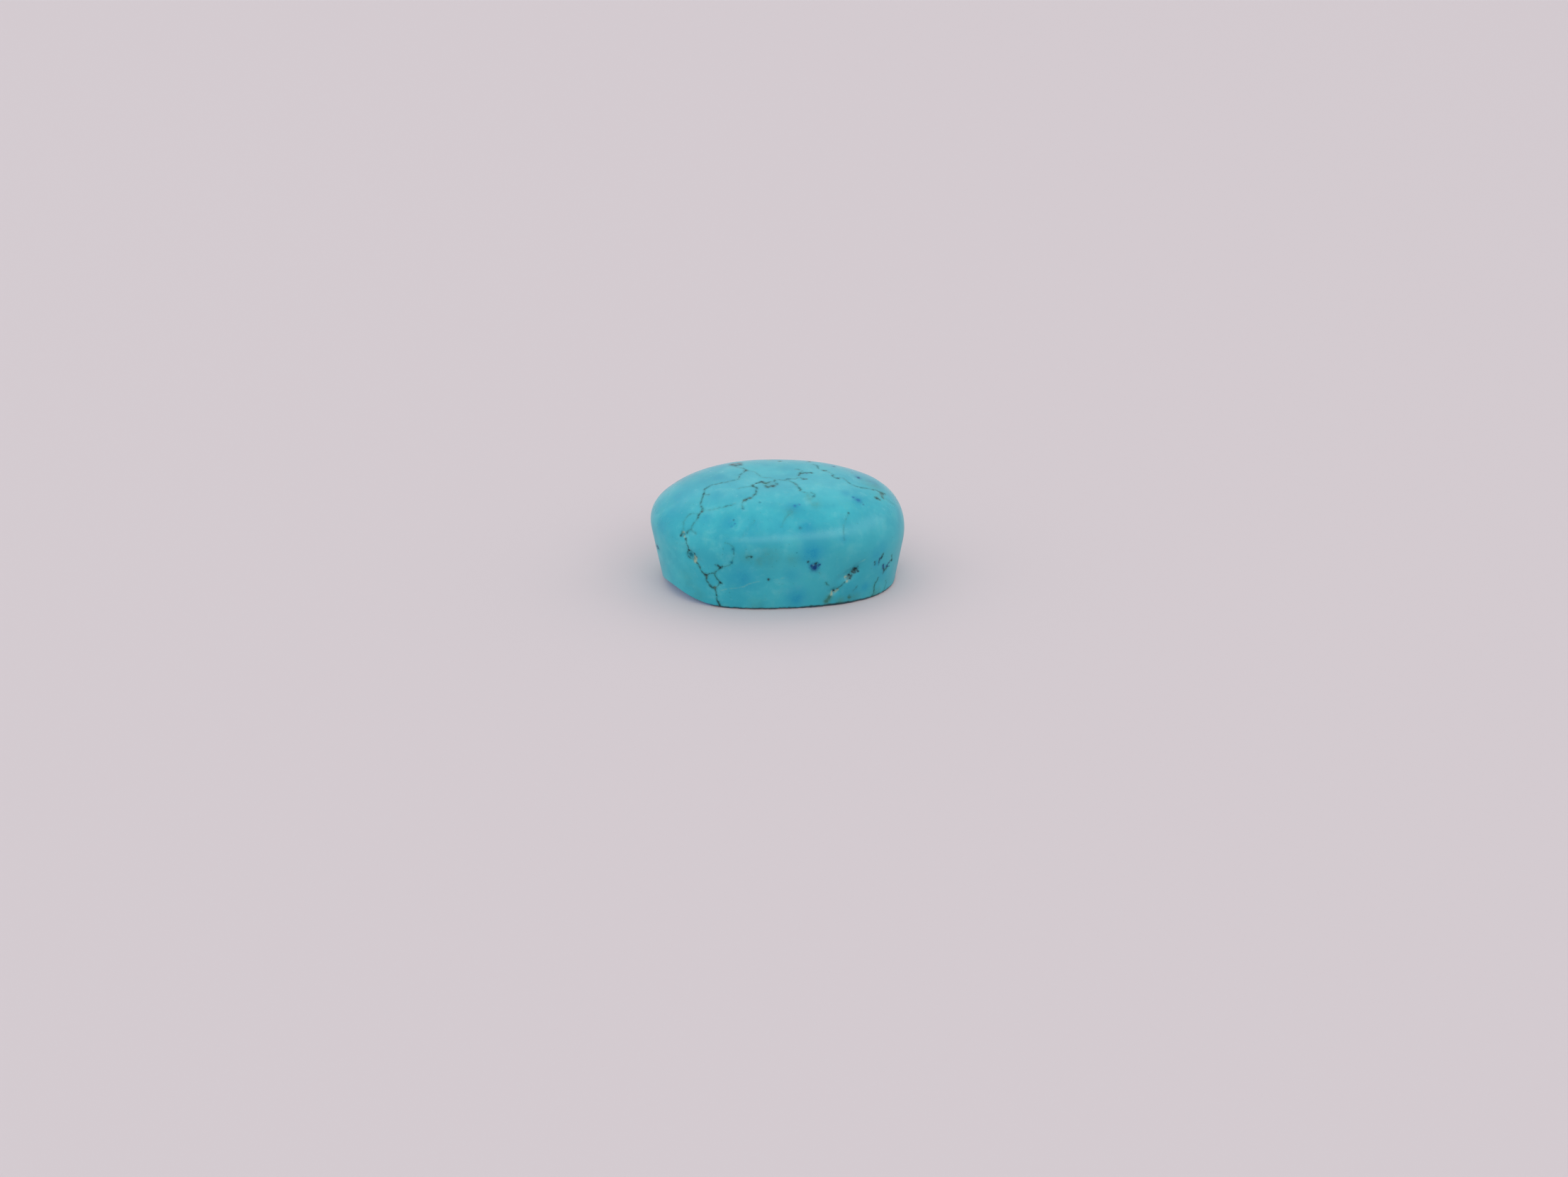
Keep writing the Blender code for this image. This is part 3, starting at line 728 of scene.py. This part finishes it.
def layVeins(points, facing, routes):
    # Shares the routes out over a few sheets so that no two on one sheet come near each other, and gives
    # each sheet a vector: signed distance, strength and tone. Strength fades past an end and far to the
    # side.
    blank = [1.0, 0.0, 0.5]
    farAway = np.full((1, 3), 99.0)
    reach = laying["reach"]
    sheets = []
    members = []
    for name, (tone, strength, route) in routes.items():
        gaps = []
        for held in members:
            everyPair = held[:, None] - route[None]
            gaps.append(np.linalg.norm(everyPair, axis=2).min())
        free = [index for index, gap in enumerate(gaps) if gap > laying["apart"]]
        if free:
            chosen = free[0]
        elif len(sheets) < laying["sheets"]:
            sheets.append(np.tile(blank, (len(points), 1)))
            members.append(farAway)
            chosen = len(sheets) - 1
        else:
            chosen = int(np.argmax(gaps))
            print("vein", name, "shares a sheet at", round(float(gaps[chosen]), 2), "mm")
        members[chosen] = np.vstack([members[chosen], route])
        low = route.min(axis=0) - reach
        high = route.max(axis=0) + reach
        inside = np.nonzero(((points > low) & (points < high)).all(axis=1))[0]
        near, signed, past = routeField(points[inside], facing[inside], route)
        beside = 1 - smooth(*laying["fadeBeside"], near)
        cover = strength * beside * (1 - smooth(*laying["fadePastEnd"], past))
        taken = near < np.minimum(np.abs(sheets[chosen][inside, 0]), reach)
        kept = inside[taken]
        sheets[chosen][kept] = np.stack([signed, cover, np.full(len(inside), tone)], axis=-1)[taken]
    for sheet in sheets:
        hideBreaks(points, sheet)
    return sheets


def layMarks(points, marks):
    # For every point: the step to it from the mark nearest to it for its size, how long that step is, and
    # the mark's radius and colour.
    best = np.full(len(points), np.inf)
    near = np.zeros(len(points))
    offset = np.zeros((len(points), 3))
    radius = np.zeros(len(points))
    paint = np.ones((len(points), 4))
    for colourName, size, centre in marks:
        step = points - centre
        distance = np.linalg.norm(step, axis=1)
        closer = distance - size < best
        best[closer] = distance[closer] - size
        near[closer] = distance[closer]
        offset[closer] = step[closer]
        radius[closer] = size
        paint[closer] = [*linear(*palette[colourName]), 1.0]
    return {"Offset": offset, "Near": near, "Radius": radius, "Paint": paint}


def onStone(places):
    # Moves points onto the nearest place of the stone's surface.
    return np.array([stoneFaces.find_nearest(place)[0] for place in places])


def hiddenPoints(count):
    # Random places on the back and the ends.
    angle = random.uniform(*scatter["directions"], count)
    share = random.uniform(*scatter["heights"], count)
    return profilePlaces(surface, np.stack([angle % 360, share], axis=-1))


def anyOf(names):
    return str(random.choice(names))


random = np.random.default_rng(scatter["seed"])
routes = {}
for name, (tone, strength, pixels) in seenVeins.items():
    routes[name] = (tone, strength, castPlaces(stoneFaces, pixels))
for name, (tone, strength, amount, places) in hiddenVeins.items():
    routes[name] = (tone, strength, onStone(wander(profilePlaces(surface, places), amount)))
for name, (tone, strength, amount, places) in baseVeins.items():
    path = wander(np.array([(*place, 0.0) for place in places]), amount)
    path[:, 2] = 0
    routes[name] = (tone, strength, path)
print("vein routes", len(routes))

markSheets = {}
for sheet, colours in seenMarks.items():
    laid = []
    for colourName, marks in colours.items():
        for size, pixel in marks:
            laid += [(colourName, size, place) for place in castPlaces(stoneFaces, [pixel])]
    markSheets[sheet] = laid
for place in hiddenPoints(scatter["darkSpots"]):
    size = random.uniform(*scatter["spotRadius"])
    markSheets["dark"].append((anyOf(["black", "brown", "indigo", "teal"]), size, place))
for place in hiddenPoints(scatter["lightSpots"]):
    size = random.uniform(*scatter["spotRadius"]) * scatter["lightSize"]
    markSheets["light"].append((anyOf(["rust", "sand", "olive"]), size, place))
for route in [routes[name][2] for name in [*hiddenVeins, *baseVeins]]:
    for index in random.choice(len(route), scatter["knotsOnVein"], replace=False):
        size = random.uniform(*scatter["knotRadius"])
        markSheets["dark"].append((anyOf(["black", "brown"]), size, route[index]))
    centre = route[random.integers(len(route))]
    markSheets["light"].append((anyOf(["rust", "sand"]), random.uniform(*scatter["fillRadius"]), centre))
for place in hiddenPoints(scatter["darkSpecks"]):
    size = random.uniform(*scatter["speckRadius"])
    markSheets["dark"].append((anyOf(["black", "teal", "brown"]), size, place))
print("marks", {sheet: len(marks) for sheet, marks in markSheets.items()})

# Mesh.


def makeStone():
    # One closed shell: the grid's rows with a single point at each pole.
    foot = np.array([[*surface[0, :, :2].mean(axis=0), 0.0]])
    points = np.vstack([foot, surface.reshape(-1, 3), crownPoint[None]])
    number = 1 + np.arange(rowCount * columnCount).reshape(rowCount, columnCount)
    beside = np.roll(number, -1, axis=1)
    quads = np.stack([number[:-1], beside[:-1], beside[1:], number[1:]], axis=-1).reshape(-1, 4)
    bottom = np.stack([beside[0], number[0], np.zeros(columnCount, int)], axis=-1)
    top = np.stack([number[-1], beside[-1], np.full(columnCount, len(points) - 1)], axis=-1)
    mesh = bpy.data.meshes.new("turquoiseStone")
    mesh.from_pydata((points * toMetres).tolist(), [], bottom.tolist() + quads.tolist() + top.tolist())
    mesh.polygons.foreach_set("use_smooth", np.ones(len(mesh.polygons), dtype=bool))
    mesh.update()
    piece = bpy.data.objects.new("turquoiseStone", mesh)
    bpy.context.scene.collection.objects.link(piece)
    return piece, points


def addNumbers(mesh, name, values):
    # Stores a number, vector or colour for each point as an attribute.
    kinds = {1: ("FLOAT", "value"), 3: ("FLOAT_VECTOR", "vector"), 4: ("FLOAT_COLOR", "color")}
    kind, field = kinds[1 if values.ndim == 1 else values.shape[1]]
    mesh.attributes.new(name, kind, "POINT").data.foreach_set(field, values.astype(np.float32).ravel())


turquoiseStone, stonePoints = makeStone()
facing = np.vstack([[[0, 0, -1.0]], normals.reshape(-1, 3), [[0, 0, 1.0]]])
stoneMesh = turquoiseStone.data

veinSheets = layVeins(stonePoints, facing, routes)
for index, sheet in enumerate(veinSheets):
    addNumbers(stoneMesh, f"vein{index}", sheet)
hairlines = {}
for name, pixels in goldHairlines.items():
    hairlines[name] = (0.5, 1.0, castPlaces(stoneFaces, pixels))
addNumbers(stoneMesh, "gold", layVeins(stonePoints, facing, hairlines)[0])
for sheet, marks in markSheets.items():
    for name, values in layMarks(stonePoints, marks).items():
        addNumbers(stoneMesh, sheet + name, values)

hazes = {kind: np.zeros(len(stonePoints)) for kind in seenHazes}


def addHaze(kind, centre, strength, radius):
    # The stronger of what is there and strength times a bell of the distance.
    distance = np.linalg.norm(stonePoints - centre, axis=1)
    hazes[kind] = np.maximum(hazes[kind], strength * bell(distance, radius))


for kind, rows in seenHazes.items():
    for radius, strength, pixel in rows:
        for centre in castPlaces(stoneFaces, [pixel]):
            addHaze(kind, centre, strength, radius)
for centre in hiddenPoints(scatter["hazes"]):
    kind = anyOf(["blue", "blue", "olive"])
    strength = random.uniform(*scatter["hazeStrength"])
    addHaze(kind, centre, strength, random.uniform(*scatter["hazeRadius"]))
addNumbers(stoneMesh, "haze", np.stack([hazes["blue"], hazes["olive"], hazes["rust"]], axis=-1))

# Rows of the grid over which the polish grows, and over which the painted bounce blue of the chamfer and
# base ends.
edgeTop = stone["baseRows"] + stone["edgeRows"]
wallTop = edgeTop + stone["wallRows"]
polishRows = (wallTop - 6, wallTop + stone["shoulderRows"])
paintedBounceRows = (edgeTop - 4, edgeTop - 1)
gridRow = np.repeat(np.arange(rowCount), columnCount)
polish = smooth(*polishRows, gridRow)
addNumbers(stoneMesh, "polish", np.concatenate([[0.0], polish, [1.0]]))
underside = 1 - smooth(*paintedBounceRows, gridRow)
addNumbers(stoneMesh, "underside", np.concatenate([[1.0], underside, [0.0]]))

# The dark band of dirt and painted contact shade keeps to the base's rim, away from the lifted edge.
rimFrom = (0.80, 0.95)
liftedEdge = (1.1, 1.7)
turn = np.degrees(np.arctan2(stonePoints[:, 1], stonePoints[:, 0])) % 360 - stone["chamferAngle"]
besideLift = smooth(*liftedEdge, np.abs(turn) / stone["chamferSpread"])
addNumbers(stoneMesh, "rim", smooth(*rimFrom, rimReach(stonePoints)) * besideLift)
print("attributes done,", len(veinSheets), "vein sheets")

# Material.


class Wire:
    # Wraps a socket, so that an expression on values adds its Math nodes.
    def __init__(self, tree, socket):
        self.tree = tree
        self.socket = socket

    def math(self, operation, *values):
        return makeNode(self.tree, "ShaderNodeMath", {"operation": operation}, list(values))

    def __add__(self, other):
        return self.math("ADD", self, other)

    def __radd__(self, other):
        return self.math("ADD", other, self)

    def __sub__(self, other):
        return self.math("SUBTRACT", self, other)

    def __rsub__(self, other):
        return self.math("SUBTRACT", other, self)

    def __mul__(self, other):
        return self.math("MULTIPLY", self, other)

    def __rmul__(self, other):
        return self.math("MULTIPLY", other, self)

    def __truediv__(self, other):
        return self.math("DIVIDE", self, other)

    def __abs__(self):
        return self.math("ABSOLUTE", self)

    def upTo(self, other):
        return self.math("MINIMUM", self, other)

    def atLeast(self, other):
        return self.math("MAXIMUM", self, other)


def makeNode(tree, kind, settings, inputs, output=0):
    # Adds a node, its settings first and then its sockets, by position or by name, from values or wires.
    # A colour ramp's setting "stops" is a list of (place, colour).
    node = tree.nodes.new(kind)
    for name, value in settings.items():
        if name == "stops":
            while len(node.color_ramp.elements) < len(value):
                node.color_ramp.elements.new(0.5)
            for element, (place, shade) in zip(node.color_ramp.elements, value):
                element.position = place
                element.color = shade
        else:
            setattr(node, name, value)
    for key, value in inputs.items() if isinstance(inputs, dict) else enumerate(inputs):
        if isinstance(value, Wire):
            tree.links.new(value.socket, node.inputs[key])
        else:
            node.inputs[key].default_value = value
    return Wire(tree, node.outputs[output])


finish = {
    "deep": (48, 170, 188),
    "aqua": (66, 188, 200),
    "pale": (112, 200, 206),
    "greenish": (76, 186, 188),
    "blueHaze": (8, 146, 182),
    "oliveHaze": (66, 144, 138),
    "rustHaze": (72, 98, 98),
    "gold": (128, 190, 170),
    "veinGreen": (38, 118, 108),
    "veinDark": (34, 62, 56),
    "veinRust": (76, 92, 80),
    # dirt and painted contact shade along the base's rim
    "rimDirtAndShade": (30, 38, 38),
    # painted shade on the wall below the polish
    "paintedWallShade": (46, 154, 168),
    # painted bounce light: sky blue on chamfer and base, to turn the shadow under the lifted edge
    # violet-blue
    "underside": (50, 174, 246),
    "paintedWallShadeShare": (0.02, 0.52),  # painted shade at the left end, and added towards the right
    "paintedBounceShare": 0.8,
    "rustTint": 0.85,
    "veinWidth": (0.020, 0.060),  # the faintest vein in mm, and added by the strongest
    "veinCover": (0.25, 0.60),  # between beads, and added on them
    "veinHalo": 0.26,
    "goldWidth": 0.10,
    "goldTint": 0.32,
    "markEdge": (1.25, 0.45),  # from clear to covered, in shares of the mark's radius
    "fringeEdge": (2.4, 0.6),
    "fringeTint": 0.35,
    "markBend": (2.0, 0.22),  # in shares of the radius, and the most in mm
    "speckTint": 0.35,
    "dirtAndShadeHeight": (0.22, 0.08),
    "dirtAndShadeTint": 0.85,
    "footDirtAndShade": 0.06,  # how much higher the dirt and painted shade stand under the front's right half, in mm
    "roughDome": 0.25,
    "roughWall": 0.42,
    "roughVein": 0.75,
    "bumpStrength": 0.5,
    "bumpDistance": 0.00002,  # metres
    "indexOfRefraction": 1.61,
    "reflection": 0.2,
    "sheen": 0.08,
    "sheenRoughness": 0.35,
}

# Noises of the material: size of the features in mm, detail, roughness, and a shift that keeps them apart.
noises = {
    "clouds": (3.4, 3.0, 0.55, 11.0),
    "patches": (1.5, 3.0, 0.60, 37.0),
    "mottle": (0.5, 3.0, 0.60, 71.0),
    "grain": (0.09, 2.0, 0.60, 5.0),
    "greenClouds": (1.1, 4.0, 0.65, 93.0),
    "broadWobble": (0.45, 2.0, 0.50, 3.0),
    "fineWobble": (0.11, 2.0, 0.50, 9.0),
    "beads": (0.26, 3.0, 0.60, 19.0),
    "tones": (0.35, 2.0, 0.50, 51.0),
    "filaments": (0.42, 3.0, 0.60, 87.0),
    "markBend": (0.16, 1.5, 0.50, 27.0),
    "specks": (0.16, 1.0, 0.50, 63.0),
    "dirtAndShadeEdge": (0.3, 3.0, 0.60, 81.0),
}


def turquoiseMaterial():
    material = bpy.data.materials.new("turquoise")
    material.use_nodes = True
    tree = material.node_tree
    shader = tree.nodes["Principled BSDF"]
    shader.inputs["IOR"].default_value = finish["indexOfRefraction"]
    shader.inputs["Specular IOR Level"].default_value = finish["reflection"]
    shader.inputs["Sheen Weight"].default_value = finish["sheen"]
    shader.inputs["Sheen Roughness"].default_value = finish["sheenRoughness"]

    def shade(name):
        return (*linear(*finish[name]), 1.0)

    def attribute(name, output="Vector"):
        return makeNode(tree, "ShaderNodeAttribute", {"attribute_name": name}, {}, output)

    def parts(vector):
        return [makeNode(tree, "ShaderNodeSeparateXYZ", {}, [vector], axis) for axis in range(3)]

    def vectorMath(operation, inputs, output="Vector"):
        return makeNode(tree, "ShaderNodeVectorMath", {"operation": operation}, inputs, output)

    def noise(name, output="Fac"):
        size, detail, roughness, shift = noises[name]
        moved = vectorMath("ADD", [place, (shift, shift, shift)])
        inputs = {"Vector": moved, "Scale": 1 / size, "Detail": detail, "Roughness": roughness}
        return makeNode(tree, "ShaderNodeTexNoise", {}, inputs, output)

    def ramp(value, low, high):
        # Smooth step from zero at low to one at high; falls where low is above high.
        settings = {"interpolation_type": "SMOOTHSTEP"}
        inputs = {"Value": value, "From Min": low, "From Max": high, "To Min": 0.0, "To Max": 1.0}
        if low > high:
            inputs.update({"From Min": high, "From Max": low, "To Min": 1.0, "To Max": 0.0})
        return makeNode(tree, "ShaderNodeMapRange", settings, inputs)

    def blend(share, first, second):
        # The first colour, turned by that share into the second.
        inputs = {0: share, 6: first, 7: second}
        return makeNode(tree, "ShaderNodeMix", {"data_type": "RGBA"}, inputs, 2)

    coordinates = makeNode(tree, "ShaderNodeTexCoord", {}, {}, "Object")
    millimetres = (1000.0, 1000.0, 1000.0)
    place = makeNode(tree, "ShaderNodeMapping", {}, {"Vector": coordinates, "Scale": millimetres})
    across, _, height = parts(place)

    # Body: deep and aqua clouds, pale and greenish patches, painted wall shade and painted bounce blue.
    patches = noise("patches")
    mottle = noise("mottle")
    grain = noise("grain")
    colour = blend(ramp(noise("clouds") * 0.6 + patches * 0.4, 0.34, 0.66), shade("deep"), shade("aqua"))
    colour = blend(ramp(patches * 0.5 + mottle * 0.5, 0.48, 0.74) * 0.4, colour, shade("pale"))
    colour = blend(ramp(noise("greenClouds"), 0.50, 0.75) * 0.35, colour, shade("greenish"))
    polish = attribute("polish", "Fac")
    # Painted shade: the wall below the polish is darkened, a little at the left end and more towards the
    # right.
    leftShade, addedShade = finish["paintedWallShadeShare"]
    rightwards = ramp(across, -5.0, 6.0)
    colour = blend((1 - polish) * (leftShade + addedShade * rightwards), colour, shade("paintedWallShade"))
    # Painted bounce light: the chamfer and base turn sky blue, so the shadow under the lifted edge turns
    # violet-blue.
    colour = blend(attribute("underside", "Fac") * finish["paintedBounceShare"], colour, shade("underside"))

    # Hazes: broken up by the mottle and the grain, the rust one most.
    blueHaze, oliveHaze, rustHaze = parts(attribute("haze"))
    soften = ramp(mottle * 0.6 + grain * 0.4, 0.25, 0.7)
    colour = blend((blueHaze * (0.55 + 0.6 * soften)).upTo(1.0), colour, shade("blueHaze"))
    colour = blend((oliveHaze * (0.2 + 0.9 * soften)).upTo(1.0), colour, shade("oliveHaze"))
    rustCover = ramp(rustHaze * (0.1 + mottle * 1.1 + grain * 0.7), 0.2, 0.9)
    colour = blend(rustCover * finish["rustTint"], colour, shade("rustHaze"))

    # Veins: the signed distance is bent by noise, and the cover comes and goes along the vein in beads.
    # Each has a dark core, a soft green halo and thin filaments that fray from it. The polished crown's
    # are wider and weaker.
    wobble = (noise("broadWobble") - 0.5) * 0.16 + (noise("fineWobble") - 0.5) * 0.09
    beads = ramp(noise("beads"), 0.32, 0.62)
    stops = [(0.0, shade("veinGreen")), (0.5, shade("veinDark")), (1.0, shade("veinRust"))]
    tones = (noise("tones") - 0.5) * 0.9
    filaments = ramp(abs(noise("filaments") - 0.5), 0.022, 0.0)
    faintest, addedWidth = finish["veinWidth"]
    leastCover, addedCover = finish["veinCover"]
    grooves = []
    for index in range(len(veinSheets)):
        signed, strength, tone = parts(attribute(f"vein{index}"))
        distance = abs(signed + wobble)
        width = (faintest + addedWidth * strength * (0.3 + 0.7 * beads)) * (1 + polish * 0.45)
        core = ramp(distance / width, 1.8, 0.0) * ramp(strength, 0.02, 0.8)
        halo = ramp(distance, finish["veinHalo"], 0.0) * strength
        veinColour = makeNode(tree, "ShaderNodeValToRGB", {"stops": stops}, [tone + tones])
        colour = blend(halo * (0.10 + 0.30 * beads), colour, shade("veinGreen"))
        colour = blend(core * (leastCover + addedCover * beads) * (1 - polish * 0.36), colour, veinColour)
        fray = filaments * ramp(distance, 0.14, 0.03) * ramp(strength, 0.3, 0.9)
        colour = blend(fray * 0.4, colour, veinColour)
        grooves.append(core * beads)
    groove = grooves[0]
    for other in grooves[1:]:
        groove = groove.atLeast(other)
    signed, strength, _ = parts(attribute("gold"))
    hair = ramp(abs(signed + wobble * 0.5), finish["goldWidth"], 0.0) * strength * beads
    colour = blend(hair * finish["goldTint"], colour, shade("gold"))

    # Marks: the step from the mark's middle is bent by noise, so that its edge is ragged.
    # It never comes out below most of the true distance, so that no line shows where two marks meet.
    bend = vectorMath("SUBTRACT", [noise("markBend", "Color"), (0.5, 0.5, 0.5)])
    bendShare, mostBend = finish["markBend"]
    markCover = {}
    for sheet in ("light", "dark"):
        radius = attribute(sheet + "Radius", "Fac")
        spread = vectorMath("SCALE", {0: bend, "Scale": (radius * bendShare).upTo(mostBend)})
        moved = vectorMath("ADD", [attribute(sheet + "Offset"), spread])
        length = vectorMath("LENGTH", [moved], "Value").atLeast(attribute(sheet + "Near", "Fac") * 0.7)
        reach = length / radius
        cover = ramp(reach, *finish["markEdge"])
        fringe = ramp(reach, *finish["fringeEdge"])
        paint = attribute(sheet + "Paint", "Color")
        colour = blend(fringe * finish["fringeTint"], colour, paint)
        colour = blend(cover * (0.9 - polish * 0.25), colour, paint)
        markCover[sheet] = cover

    # Tiny dark specks, and a band of dirt and painted contact shade along the base's rim, with a ragged
    # upper edge.
    specks = ramp(noise("specks"), 0.71, 0.79)
    colour = blend(specks * finish["speckTint"], colour, shade("veinGreen"))
    rightFoot = ramp(across, 1.0, 2.5) * ramp(across, 6.0, 4.0) * finish["footDirtAndShade"]
    dirtAndShade = ramp(height - rightFoot + (noise("dirtAndShadeEdge") - 0.5) * 0.22, *finish["dirtAndShadeHeight"])
    outer = ramp(attribute("rim", "Fac"), 0.2, 0.8)
    colour = blend(dirtAndShade * outer * finish["dirtAndShadeTint"], colour, shade("rimDirtAndShade"))

    # Roughness falls with the polish and rises on veins and marks, which also lie a little deeper.
    tree.links.new(colour.socket, shader.inputs["Base Color"])
    rough = finish["roughWall"] + polish * (finish["roughDome"] - finish["roughWall"])
    matt = groove.atLeast(markCover["light"]).atLeast(markCover["dark"] * 0.6)
    rough = rough + matt * (finish["roughVein"] - finish["roughDome"]) + (mottle - 0.5) * 0.12
    tree.links.new(rough.socket, shader.inputs["Roughness"])

    heightMap = (mottle * 0.35 + grain * 0.10) * (1.2 - polish) - groove * 0.9 - matt * 0.3
    depth = {"Strength": finish["bumpStrength"], "Distance": finish["bumpDistance"], "Height": heightMap}
    bump = makeNode(tree, "ShaderNodeBump", {}, depth)
    tree.links.new(bump.socket, shader.inputs["Normal"])
    return material


stoneMesh.materials.append(turquoiseMaterial())
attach(turquoiseStone, "root")
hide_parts("turquoise_stone")
print("stone made")

# Floor and light.

studio = {
    "floorColour": (209, 206, 208),
    "floorRoughness": 0.9,
    "floorHalfSize": 2.0,
    "worldColour": (255, 244, 250),
    "worldStrength": 0.66,
}

# A lamp is (place and size in metres, watts, and what it casts: matt light, gloss, a shadow).
lamps = {
    "overhead": ((-0.03, 0.20, 0.28), (0.40, 0.30), 0.21, "matt gloss shadow"),
    "frontTop": ((0.08, -0.42, 0.34), (0.60, 0.20), 0.58, "matt shadow"),
    "leftSide": ((-0.44, -0.06, 0.30), (0.60, 0.44), 0.60, "matt"),
    "rightSide": ((0.44, 0.04, 0.30), (0.60, 0.44), 0.48, "matt"),
    "frontWindow": ((0.086, -0.405, 0.28), (0.62, 0.20), 0.66, "gloss shadow"),
    "rightWindow": ((0.40, -0.16, 0.25), (0.53, 0.18), 0.51, "gloss shadow"),
}


def makeFloor():
    half = studio["floorHalfSize"]
    corners = [(-half, -half, 0), (half, -half, 0), (half, half, 0), (-half, half, 0)]
    mesh = bpy.data.meshes.new("paleFloor")
    mesh.from_pydata(corners, [], [(0, 1, 2, 3)])
    material = bpy.data.materials.new("paleFloor")
    material.use_nodes = True
    shader = material.node_tree.nodes["Principled BSDF"]
    shader.inputs["Base Color"].default_value = (*linear(*studio["floorColour"]), 1.0)
    shader.inputs["Roughness"].default_value = studio["floorRoughness"]
    shader.inputs["Specular IOR Level"].default_value = 0.0
    mesh.materials.append(material)
    floor = bpy.data.objects.new("paleFloor", mesh)
    bpy.context.scene.collection.objects.link(floor)


def makeLights():
    world = bpy.data.worlds.new("studio")
    world.use_nodes = True
    sky = world.node_tree.nodes["Background"]
    sky.inputs["Color"].default_value = (*linear(*studio["worldColour"]), 1.0)
    sky.inputs["Strength"].default_value = studio["worldStrength"]
    bpy.context.scene.world = world
    for name, (place, size, power, casts) in lamps.items():
        data = bpy.data.lights.new(name, "AREA")
        data.shape = "RECTANGLE"
        data.size, data.size_y = size
        data.energy = power
        data.use_shadow = "shadow" in casts
        lamp = bpy.data.objects.new(name, data)
        lamp.location = place
        lamp.visible_diffuse = "matt" in casts
        lamp.visible_glossy = "gloss" in casts
        lamp.rotation_euler = (-Vector(place)).to_track_quat("-Z", "Y").to_euler()
        bpy.context.scene.collection.objects.link(lamp)


makeFloor()
makeLights()
bpy.context.scene.view_settings.view_transform = "Standard"

print("scene done")
